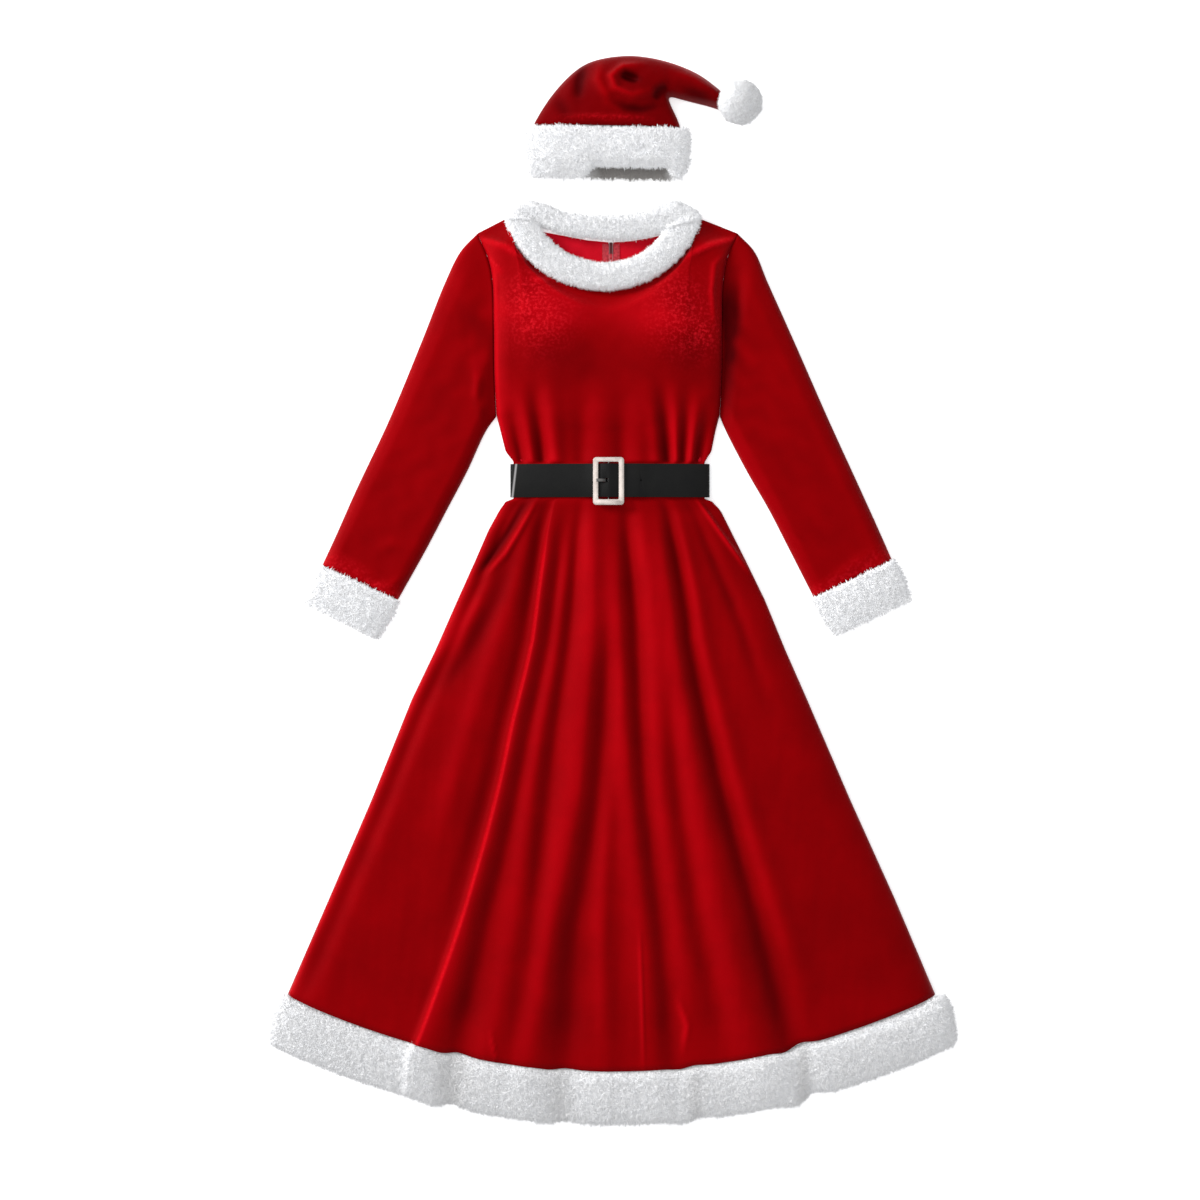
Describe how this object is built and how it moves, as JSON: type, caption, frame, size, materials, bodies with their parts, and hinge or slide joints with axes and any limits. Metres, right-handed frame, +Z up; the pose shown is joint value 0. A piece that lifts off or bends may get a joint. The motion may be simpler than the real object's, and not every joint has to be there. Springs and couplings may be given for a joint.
{
  "type": "santa dress costume",
  "caption": "Long-sleeved velvet dress with fur bands, its own belt with a rectangular buckle, and a matching pompom hat, laid flat on a surface.",
  "frame": {"origin": "centre of the footprint on the surface that the set lies on", "axes": "+X to the right as seen from above, +Y from the hem towards the neck and the hat, +Z up from the surface"},
  "size_m": [1.0334, 1.6058, 0.0485],
  "materials": {
    "velvet": "red stretch velvet with a short pile",
    "fur": "white short faux fur",
    "zip_tape": "woven red zip tape",
    "zip_chain": "red nylon coil",
    "zip_metal": "dark painted metal",
    "belt": "black fine-grained leather look",
    "buckle": "satin silver"
  },
  "bodies": {
    "root": {"bodice_front": "velvet", "bodice_back_left": "velvet", "bodice_back_right": "velvet", "skirt_front": "velvet", "skirt_back": "velvet", "sleeve_left": "velvet", "sleeve_right": "velvet", "cuff_left": "fur", "cuff_right": "fur", "neck_band": "fur", "hem_band_front": "fur", "hem_band_back": "fur", "zip_tape_left": "zip_tape", "zip_tape_right": "zip_tape", "zip_chain": "zip_chain", "zip_slider": "zip_metal", "zip_pull": "zip_metal", "belt_strap": "belt", "belt_buckle": "buckle", "belt_prong": "buckle", "hat_crown": "velvet", "hat_brim": "fur", "hat_pompom": "fur"}
  },
  "joints": []
}
